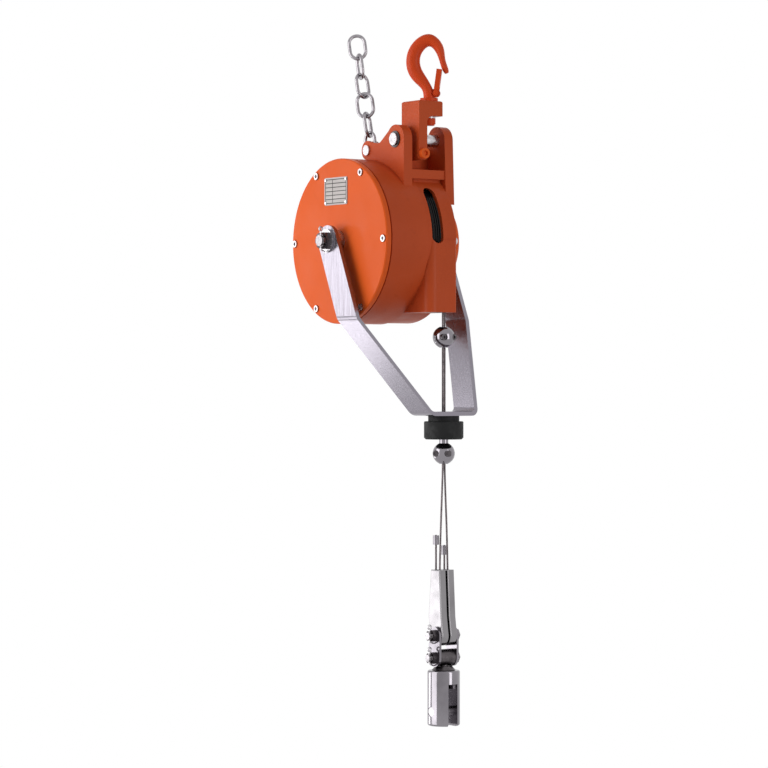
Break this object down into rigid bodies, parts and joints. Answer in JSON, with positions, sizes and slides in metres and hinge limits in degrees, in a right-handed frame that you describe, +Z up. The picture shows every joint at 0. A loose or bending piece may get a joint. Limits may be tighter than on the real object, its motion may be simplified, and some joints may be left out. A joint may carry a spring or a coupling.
{
  "type": "tool balancer",
  "caption": "Spring tool balancer: round cast casing on a swivel hook, stirrup guide, twin load ropes with wedge sockets and a swivel fork.",
  "frame": {"origin": "saddle of the top hook, where it hangs from its support", "axes": "+Z up, +Y along the drum axis away from the front cover, +X towards the side where the load ropes leave"},
  "size_m": [0.2575, 0.235, 1.0073],
  "materials": {
    "orange_paint": "glossy orange-red enamel on a casting",
    "hook_paint": "orange-red enamel on a forging",
    "bright_steel": "ground flat bar",
    "zinc": "bright zinc plate",
    "dark_steel": "oiled dark steel",
    "rope_steel": "greased wire rope",
    "chrome": "polished",
    "rubber": "matt black",
    "nylon": "black nylon",
    "plate": "satin",
    "drum_black": "glossy black",
    "bronze": "plain bearing bronze",
    "spring_steel": "blued strip"
  },
  "bodies": {
    "casing": {"main_housing": "orange_paint", "rope_guide": "nylon", "front_cover": "orange_paint", "cover_screws": "zinc", "rating_plate": "plate", "plate_rivets": "zinc", "rear_cover": "orange_paint", "rear_cover_screws": "zinc", "axle": "zinc", "arbor_key": "dark_steel", "spring_arbor": "dark_steel", "front_spacer": "zinc", "rear_spacer": "zinc", "axle_washers": "zinc", "axle_nuts": "dark_steel", "axle_cotters": "zinc", "suspension_pin": "zinc", "pin_circlips": "dark_steel", "chain_pin": "zinc", "chain_pin_circlip": "dark_steel"},
    "drum": {"rope_drum": "drum_black", "drum_bushes": "bronze", "wound_rope": "rope_steel", "spring_cassette": "dark_steel", "cassette_screws": "zinc", "mainspring": "spring_steel"},
    "block": {"hook_block": "orange_paint", "tilt_screw": "orange_paint", "hook_thrust_washer": "zinc"},
    "hook": {"hook": "hook_paint", "hook_nut": "hook_paint", "latch_pin": "zinc", "latch_spring": "spring_steel"},
    "latch": {"latch": "zinc"},
    "chain": {"chain_link_1": "zinc", "chain_link_2": "zinc", "chain_link_3": "zinc", "chain_link_4": "zinc", "chain_link_5": "zinc", "chain_link_6": "zinc"},
    "stirrup": {"stirrup": "bright_steel", "bumper": "rubber"},
    "ropes": {"rope_front": "rope_steel", "rope_rear": "rope_steel", "upper_clamp_halves": "chrome", "upper_clamp_screws": "zinc", "lower_clamp_halves": "chrome", "lower_clamp_screws": "zinc", "wedge_sockets": "chrome", "wedges": "dark_steel", "rope_tails": "rope_steel", "tail_ferrules": "chrome"},
    "links": {"link_plates": "chrome", "link_bolts": "zinc", "link_nuts": "dark_steel", "link_cotters": "zinc"},
    "swivel": {"swivel_eye": "dark_steel", "swivel_nut": "zinc"},
    "fork": {"fork": "chrome", "fork_pin": "zinc"}
  },
  "joints": [
    {"name": "block_swing", "type": "hinge", "parent": "casing", "child": "block", "pos_m": [-0.006, -0.007, -0.136], "axis": [0, 1, 0], "range_deg": [-14, 0]},
    {"name": "hook_swivel", "type": "hinge", "parent": "block", "child": "hook", "pos_m": [0, 0, -0.08], "axis": [0, 0, 1], "continuous": true},
    {"name": "latch_pivot", "type": "hinge", "parent": "hook", "child": "latch", "pos_m": [0.00675, 0.00804, -0.0675], "axis": [-0.766, 0.6428, 0], "range_deg": [-30, 0], "stiffness_Nm_per_rad": 0.05, "springref_deg": 34.38},
    {"name": "stirrup_swing", "type": "hinge", "parent": "casing", "child": "stirrup", "pos_m": [-0.076, -0.027, -0.282], "axis": [0, 1, 0], "range_deg": [0, 8], "stiffness_Nm_per_rad": 3, "springref_deg": -143.24},
    {"name": "rope_travel", "type": "slide", "parent": "stirrup", "child": "ropes", "axis": [0, 0, -1], "range_m": [0, 0.092], "stiffness_N_per_m": 60, "springref_m": -1},
    {"name": "drum_spin", "type": "hinge", "parent": "casing", "child": "drum", "pos_m": [-0.076, -0.017, -0.282], "axis": [0, 1, 0], "range_deg": [0, 48.5]},
    {"name": "link_swing", "type": "hinge", "parent": "ropes", "child": "links", "pos_m": [0.033, 0.002, -0.8515], "axis": [0, 1, 0], "range_deg": [-20, 20]},
    {"name": "eye_swing", "type": "hinge", "parent": "links", "child": "swivel", "pos_m": [0.033, 0.002, -0.8835], "axis": [0, 1, 0], "range_deg": [-20, 20]},
    {"name": "fork_swivel", "type": "hinge", "parent": "swivel", "child": "fork", "pos_m": [0.033, 0.002, -0.9015], "axis": [0, 0, 1], "continuous": true},
    {"name": "chain_swing", "type": "hinge", "parent": "casing", "child": "chain", "pos_m": [-0.076, -0.0485, -0.148], "axis": [0, 1, 0], "range_deg": [0, 8]}
  ],
  "couplings": [
    {"joint": "drum_spin", "follows": "rope_travel", "rad_per_m": 9.1743}
  ]
}
